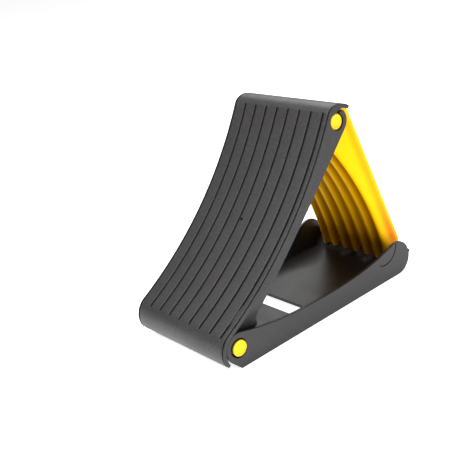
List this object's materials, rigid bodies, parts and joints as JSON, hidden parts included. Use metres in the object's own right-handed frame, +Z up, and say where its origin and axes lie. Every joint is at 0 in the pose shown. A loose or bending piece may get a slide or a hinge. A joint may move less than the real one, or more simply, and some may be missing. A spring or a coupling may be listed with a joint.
{
  "type": "folding wheel chock",
  "caption": "Folding wheel chock with a tray base, a concave grooved tyre ramp hinged at the toe and a corrugated strut that stands in the curled heel.",
  "frame": {"origin": "middle of the footprint on the ground plane", "axes": "+X from the toe to the heel, +Y to the left of that direction, +Z up"},
  "size_m": [0.2164, 0.1108, 0.1649],
  "materials": {
    "base": "black moulded plastic, fine grained outside, semi-gloss floor",
    "ramp": "black moulded plastic with a fine mottled grain on the tyre face",
    "strut": "safety yellow moulded plastic, warmer on the corrugated face",
    "rod": "plain bright round bar",
    "cap": "yellow moulded plastic, smooth"
  },
  "bodies": {
    "base": {"base_tray": "base"},
    "ramp": {"ramp": "ramp", "front_hinge_rod": "rod", "top_hinge_rod": "rod", "front_rod_cap_left": "cap", "front_rod_cap_right": "cap", "top_rod_cap_left": "cap", "top_rod_cap_right": "cap"},
    "strut": {"strut": "strut"}
  },
  "joints": [
    {"name": "ramp_pivot", "type": "hinge", "parent": "base", "child": "ramp", "pos_m": [-0.091, 0, 0.0169], "axis": [0, -1, 0], "range_deg": [0, 20]},
    {"name": "strut_pivot", "type": "hinge", "parent": "ramp", "child": "strut", "pos_m": [0.0361, 0, 0.1517], "axis": [0, -1, 0], "range_deg": [-55, 0]}
  ],
  "couplings": [
    {"joint": "strut_pivot", "follows": "ramp_pivot", "ratio": -2.75}
  ]
}
